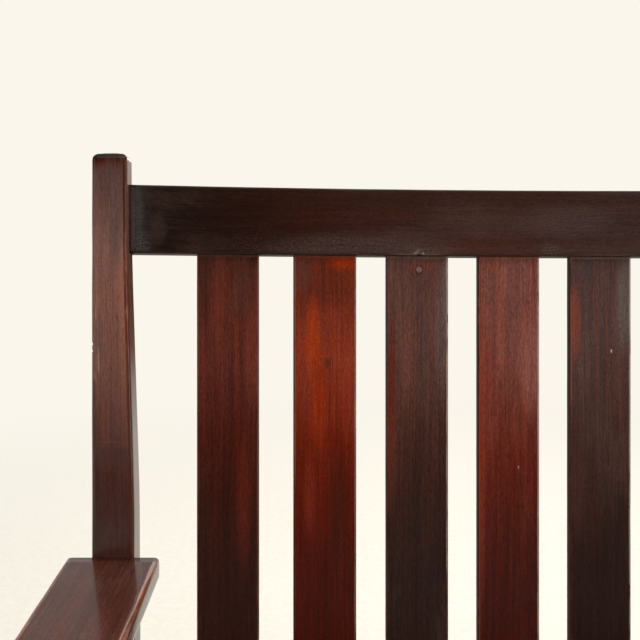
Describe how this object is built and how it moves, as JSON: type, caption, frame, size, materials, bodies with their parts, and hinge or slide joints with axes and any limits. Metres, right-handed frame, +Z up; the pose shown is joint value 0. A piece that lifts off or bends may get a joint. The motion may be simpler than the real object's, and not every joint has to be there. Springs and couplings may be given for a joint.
{
  "type": "mission settle",
  "caption": "Mission settle with a raked, bowed back of flat upright slats between two rails, tapered posts, flat arms over slatted sides and a drop-in leather seat.",
  "frame": {"origin": "centre of the overall footprint box, on the floor", "axes": "+X along the settle to the right of someone facing it, +Y towards the back, +Z up; the sitter faces -Y"},
  "size_m": [1.1928, 0.7265, 1.0153],
  "materials": {
    "stained_mahogany": "dark red mahogany stain under aged satin-gloss varnish, eased edges worn lighter",
    "plug_wood": "stained end grain, satin varnish",
    "bare_hardwood": "unfinished planed hardwood, aged",
    "seat_leather": "dark brown leather, fine grain, worn satin",
    "jute_webbing": "plain woven jute",
    "steel_screws": "dull steel, slotted",
    "glide_nickel": "nickelled steel, scuffed"
  },
  "bodies": {
    "settle_frame": {"arm_dowels": "bare_hardwood", "arm_left": "stained_mahogany", "arm_right": "stained_mahogany", "arm_screw_plugs": "plug_wood", "arm_screws": "steel_screws", "back_post_left": "stained_mahogany", "back_post_right": "stained_mahogany", "back_seat_rail": "stained_mahogany", "back_slat_1": "stained_mahogany", "back_slat_10": "stained_mahogany", "back_slat_2": "stained_mahogany", "back_slat_3": "stained_mahogany", "back_slat_4": "stained_mahogany", "back_slat_5": "stained_mahogany", "back_slat_6": "stained_mahogany", "back_slat_7": "stained_mahogany", "back_slat_8": "stained_mahogany", "back_slat_9": "stained_mahogany", "cleat_screws": "steel_screws", "corner_block_screws": "steel_screws", "corner_blocks": "bare_hardwood", "foot_glides": "glide_nickel", "front_post_left": "stained_mahogany", "front_post_right": "stained_mahogany", "front_seat_rail": "stained_mahogany", "long_stretcher": "stained_mahogany", "lower_back_rail": "stained_mahogany", "seat_bearer": "bare_hardwood", "seat_cleats": "bare_hardwood", "seat_rail_dowels": "bare_hardwood", "side_seat_rail_left": "stained_mahogany", "side_seat_rail_right": "stained_mahogany", "side_slat_1_left": "stained_mahogany", "side_slat_1_right": "stained_mahogany", "side_slat_2_left": "stained_mahogany", "side_slat_2_right": "stained_mahogany", "side_slat_3_left": "stained_mahogany", "side_slat_3_right": "stained_mahogany", "side_slat_4_left": "stained_mahogany", "side_slat_4_right": "stained_mahogany", "side_stretcher_left": "stained_mahogany", "side_stretcher_right": "stained_mahogany", "slat_plug": "plug_wood", "top_back_rail": "stained_mahogany"},
    "drop_in_seat": {"seat_cushion": "seat_leather", "seat_frame_back": "bare_hardwood", "seat_frame_dowels": "bare_hardwood", "seat_frame_front": "bare_hardwood", "seat_frame_left": "bare_hardwood", "seat_frame_middle": "bare_hardwood", "seat_frame_right": "bare_hardwood", "seat_webbing_cross": "jute_webbing", "seat_webbing_long": "jute_webbing"}
  },
  "joints": [
    {"name": "seat_lift", "type": "slide", "parent": "settle_frame", "child": "drop_in_seat", "axis": [0, 0, 1], "range_m": [0, 0.11]}
  ]
}
